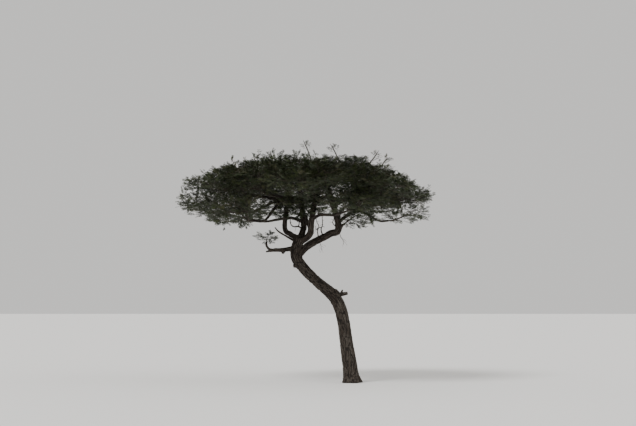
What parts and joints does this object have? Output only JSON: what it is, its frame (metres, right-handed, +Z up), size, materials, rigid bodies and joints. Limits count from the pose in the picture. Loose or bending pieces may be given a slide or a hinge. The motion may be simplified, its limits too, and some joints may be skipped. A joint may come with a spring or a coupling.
{
  "type": "acacia tree",
  "caption": "Umbrella acacia with a leaning, double-bent trunk, spreading boughs and a wide flat-topped crown of separate leaf masses.",
  "frame": {"origin": "middle of the flat cut under the trunk, at ground level", "axes": "+Z up; +X across the tree, against the trunk's lean; +Y into the tree's depth, away from the side it is seen from"},
  "size_m": [7.9864, 7.9768, 7.9553],
  "materials": {
    "bark": "rough, fissured lengthwise",
    "foliage": "matt leaf"
  },
  "bodies": {
    "root": {"trunk": "bark", "bough_back": "bark", "bough_dead": "bark", "bough_dead_tuft": "bark", "bough_front": "bark", "bough_inner_middle": "bark", "bough_inner_right": "bark", "bough_left": "bark", "bough_low_back": "bark", "bough_low_front": "bark", "bough_low_left": "bark", "bough_low_right": "bark", "bough_mid_1": "bark", "bough_mid_4": "bark", "bough_outer_right": "bark", "bough_prong": "bark", "bough_right": "bark", "bough_rim_0": "bark", "bough_rim_1": "bark", "bough_rim_2": "bark", "bough_rim_3": "bark", "bough_rim_4": "bark", "bough_rim_5": "bark", "bough_rim_6": "bark", "bough_rim_7": "bark", "bough_stub": "bark", "bough_thin": "bark", "bough_top": "bark", "leaves_dead_tuft": "foliage", "leaves_inner_middle": "foliage", "leaves_inner_right": "foliage", "leaves_low_back": "foliage", "leaves_low_front": "foliage", "leaves_low_left": "foliage", "leaves_low_right": "foliage", "leaves_mid_0": "foliage", "leaves_mid_1": "foliage", "leaves_mid_2": "foliage", "leaves_mid_3": "foliage", "leaves_mid_4": "foliage", "leaves_mid_5": "foliage", "leaves_outer_right": "foliage", "leaves_rim_0": "foliage", "leaves_rim_1": "foliage", "leaves_rim_2": "foliage", "leaves_rim_3": "foliage", "leaves_rim_4": "foliage", "leaves_rim_5": "foliage", "leaves_rim_6": "foliage", "leaves_rim_7": "foliage", "leaves_top": "foliage"}
  },
  "joints": []
}
